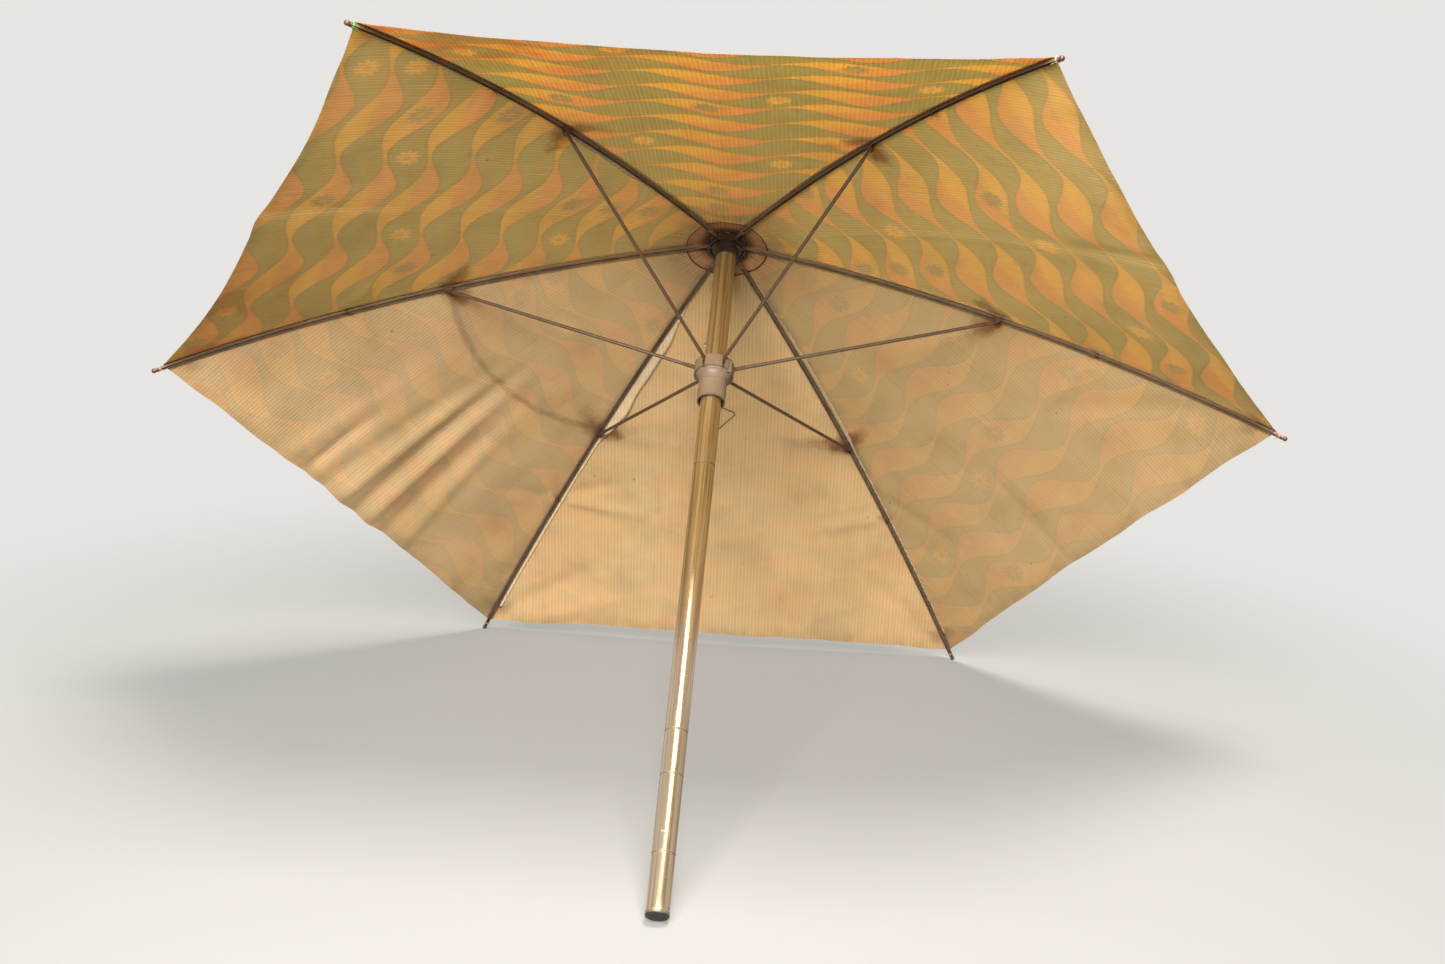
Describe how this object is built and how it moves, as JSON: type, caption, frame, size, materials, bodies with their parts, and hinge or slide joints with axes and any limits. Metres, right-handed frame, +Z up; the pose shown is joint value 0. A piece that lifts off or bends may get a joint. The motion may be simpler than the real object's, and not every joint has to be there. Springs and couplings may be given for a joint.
{
  "type": "parasol",
  "caption": "Parasol on a two-piece tube pole: a printed cloth canopy on bowed channel ribs, folded by a runner, struts and a sprung wire catch.",
  "frame": {"origin": "on the pole's axis at the foot end of the lower tube, where it enters a base", "axes": "+Z up the pole towards the crown, +X along rib 1; the canopy is open at rest"},
  "size_m": [1.607, 1.3926, 1.0871],
  "materials": {
    "pole_tube": "polished tube, dulled by use",
    "black_plastic": "moulded",
    "brown_plastic": "moulded, dark brown",
    "grey_plastic": "moulded, pale beige grey",
    "rusty_wire": "rusted wire",
    "stop_wire": "dull wire",
    "rib_steel": "dark brown lacquer, rust at the joints",
    "strut_steel": "dark brown lacquer, worn",
    "tip_plastic": "moulded",
    "thread": "twisted thread",
    "cloth": "corded cloth, printed outside"
  },
  "bodies": {
    "pole": {"pole_lower": "pole_tube", "pole_upper": "pole_tube", "foot_plug": "black_plastic", "crown": "brown_plastic", "crown_ring": "rusty_wire", "top_cap": "grey_plastic", "knob": "grey_plastic", "canopy_centre": "cloth", "stop_loop": "stop_wire", "catch_anchor": "black_plastic"},
    "runner_unit": {"runner": "grey_plastic", "runner_ring": "rusty_wire"},
    "catch": {"catch_wire": "rusty_wire"},
    "rib_arm_1": {"rib_1": "rib_steel", "rib_bracket_1": "rib_steel", "rib_pin_1": "rusty_wire", "rib_tip_1": "tip_plastic", "rib_tie_1": "thread", "canopy_1": "cloth"},
    "strut_arm_1": {"strut_1": "strut_steel"},
    "rib_arm_2": {"rib_2": "rib_steel", "rib_bracket_2": "rib_steel", "rib_pin_2": "rusty_wire", "rib_tip_2": "tip_plastic", "rib_tie_2": "thread", "canopy_2": "cloth"},
    "strut_arm_2": {"strut_2": "strut_steel"},
    "rib_arm_3": {"rib_3": "rib_steel", "rib_bracket_3": "rib_steel", "rib_pin_3": "rusty_wire", "rib_tip_3": "tip_plastic", "rib_tie_3": "thread", "canopy_3": "cloth"},
    "strut_arm_3": {"strut_3": "strut_steel"},
    "rib_arm_4": {"rib_4": "rib_steel", "rib_bracket_4": "rib_steel", "rib_pin_4": "rusty_wire", "rib_tip_4": "tip_plastic", "rib_tie_4": "thread", "canopy_4": "cloth"},
    "strut_arm_4": {"strut_4": "strut_steel"},
    "rib_arm_5": {"rib_5": "rib_steel", "rib_bracket_5": "rib_steel", "rib_pin_5": "rusty_wire", "rib_tip_5": "tip_plastic", "rib_tie_5": "thread", "canopy_5": "cloth"},
    "strut_arm_5": {"strut_5": "strut_steel"},
    "rib_arm_6": {"rib_6": "rib_steel", "rib_bracket_6": "rib_steel", "rib_pin_6": "rusty_wire", "rib_tip_6": "tip_plastic", "rib_tie_6": "thread", "canopy_6": "cloth"},
    "strut_arm_6": {"strut_6": "strut_steel"}
  },
  "joints": [
    {"name": "canopy_fold", "type": "hinge", "parent": "pole", "child": "rib_arm_1", "pos_m": [0.024, 0, 1.046], "axis": [0, 1, 0], "range_deg": [0, 66], "deforming": ["canopy_1", "catch_wire"]},
    {"name": "rib_fold_2", "type": "hinge", "parent": "pole", "child": "rib_arm_2", "pos_m": [0.012, 0.02078, 1.046], "axis": [-0.866, 0.5, 0], "range_deg": [0, 66], "deforming": ["canopy_2"]},
    {"name": "rib_fold_3", "type": "hinge", "parent": "pole", "child": "rib_arm_3", "pos_m": [-0.012, 0.02078, 1.046], "axis": [-0.866, -0.5, 0], "range_deg": [0, 66], "deforming": ["canopy_3"]},
    {"name": "rib_fold_4", "type": "hinge", "parent": "pole", "child": "rib_arm_4", "pos_m": [-0.024, 0, 1.046], "axis": [0, -1, 0], "range_deg": [0, 66], "deforming": ["canopy_4"]},
    {"name": "rib_fold_5", "type": "hinge", "parent": "pole", "child": "rib_arm_5", "pos_m": [-0.012, -0.02078, 1.046], "axis": [0.866, -0.5, 0], "range_deg": [0, 66], "deforming": ["canopy_5"]},
    {"name": "rib_fold_6", "type": "hinge", "parent": "pole", "child": "rib_arm_6", "pos_m": [0.012, -0.02078, 1.046], "axis": [0.866, 0.5, 0], "range_deg": [0, 66], "deforming": ["canopy_6"]},
    {"name": "strut_fold_1", "type": "hinge", "parent": "rib_arm_1", "child": "strut_arm_1", "pos_m": [0.39994, 0, 0.9321], "axis": [0, 1, 0], "range_deg": [-132, 0]},
    {"name": "strut_fold_2", "type": "hinge", "parent": "rib_arm_2", "child": "strut_arm_2", "pos_m": [0.19997, 0.34636, 0.9321], "axis": [-0.866, 0.5, 0], "range_deg": [-132, 0]},
    {"name": "strut_fold_3", "type": "hinge", "parent": "rib_arm_3", "child": "strut_arm_3", "pos_m": [-0.19997, 0.34636, 0.9321], "axis": [-0.866, -0.5, 0], "range_deg": [-132, 0]},
    {"name": "strut_fold_4", "type": "hinge", "parent": "rib_arm_4", "child": "strut_arm_4", "pos_m": [-0.39994, 0, 0.9321], "axis": [0, -1, 0], "range_deg": [-132, 0]},
    {"name": "strut_fold_5", "type": "hinge", "parent": "rib_arm_5", "child": "strut_arm_5", "pos_m": [-0.19997, -0.34636, 0.9321], "axis": [0.866, -0.5, 0], "range_deg": [-132, 0]},
    {"name": "strut_fold_6", "type": "hinge", "parent": "rib_arm_6", "child": "strut_arm_6", "pos_m": [0.19997, -0.34636, 0.9321], "axis": [0.866, 0.5, 0], "range_deg": [-132, 0]},
    {"name": "runner_pivot", "type": "hinge", "parent": "strut_arm_1", "child": "runner_unit", "pos_m": [0.024, 0, 0.8182], "axis": [0, 1, 0], "range_deg": [0, 66]},
    {"name": "catch_press", "type": "hinge", "parent": "pole", "child": "catch", "pos_m": [0.00779, 0.0045, 0.64904], "axis": [0.5, -0.866, 0], "range_deg": [0, 10.8], "stiffness_Nm_per_rad": 0.08, "springref_deg": -17.19}
  ],
  "couplings": [
    {"joint": "rib_fold_2", "follows": "canopy_fold", "ratio": 1},
    {"joint": "rib_fold_3", "follows": "canopy_fold", "ratio": 1},
    {"joint": "rib_fold_4", "follows": "canopy_fold", "ratio": 1},
    {"joint": "rib_fold_5", "follows": "canopy_fold", "ratio": 1},
    {"joint": "rib_fold_6", "follows": "canopy_fold", "ratio": 1},
    {"joint": "strut_fold_1", "follows": "canopy_fold", "ratio": -2},
    {"joint": "strut_fold_2", "follows": "canopy_fold", "ratio": -2},
    {"joint": "strut_fold_3", "follows": "canopy_fold", "ratio": -2},
    {"joint": "strut_fold_4", "follows": "canopy_fold", "ratio": -2},
    {"joint": "strut_fold_5", "follows": "canopy_fold", "ratio": -2},
    {"joint": "strut_fold_6", "follows": "canopy_fold", "ratio": -2},
    {"joint": "runner_pivot", "follows": "canopy_fold", "ratio": 1}
  ]
}
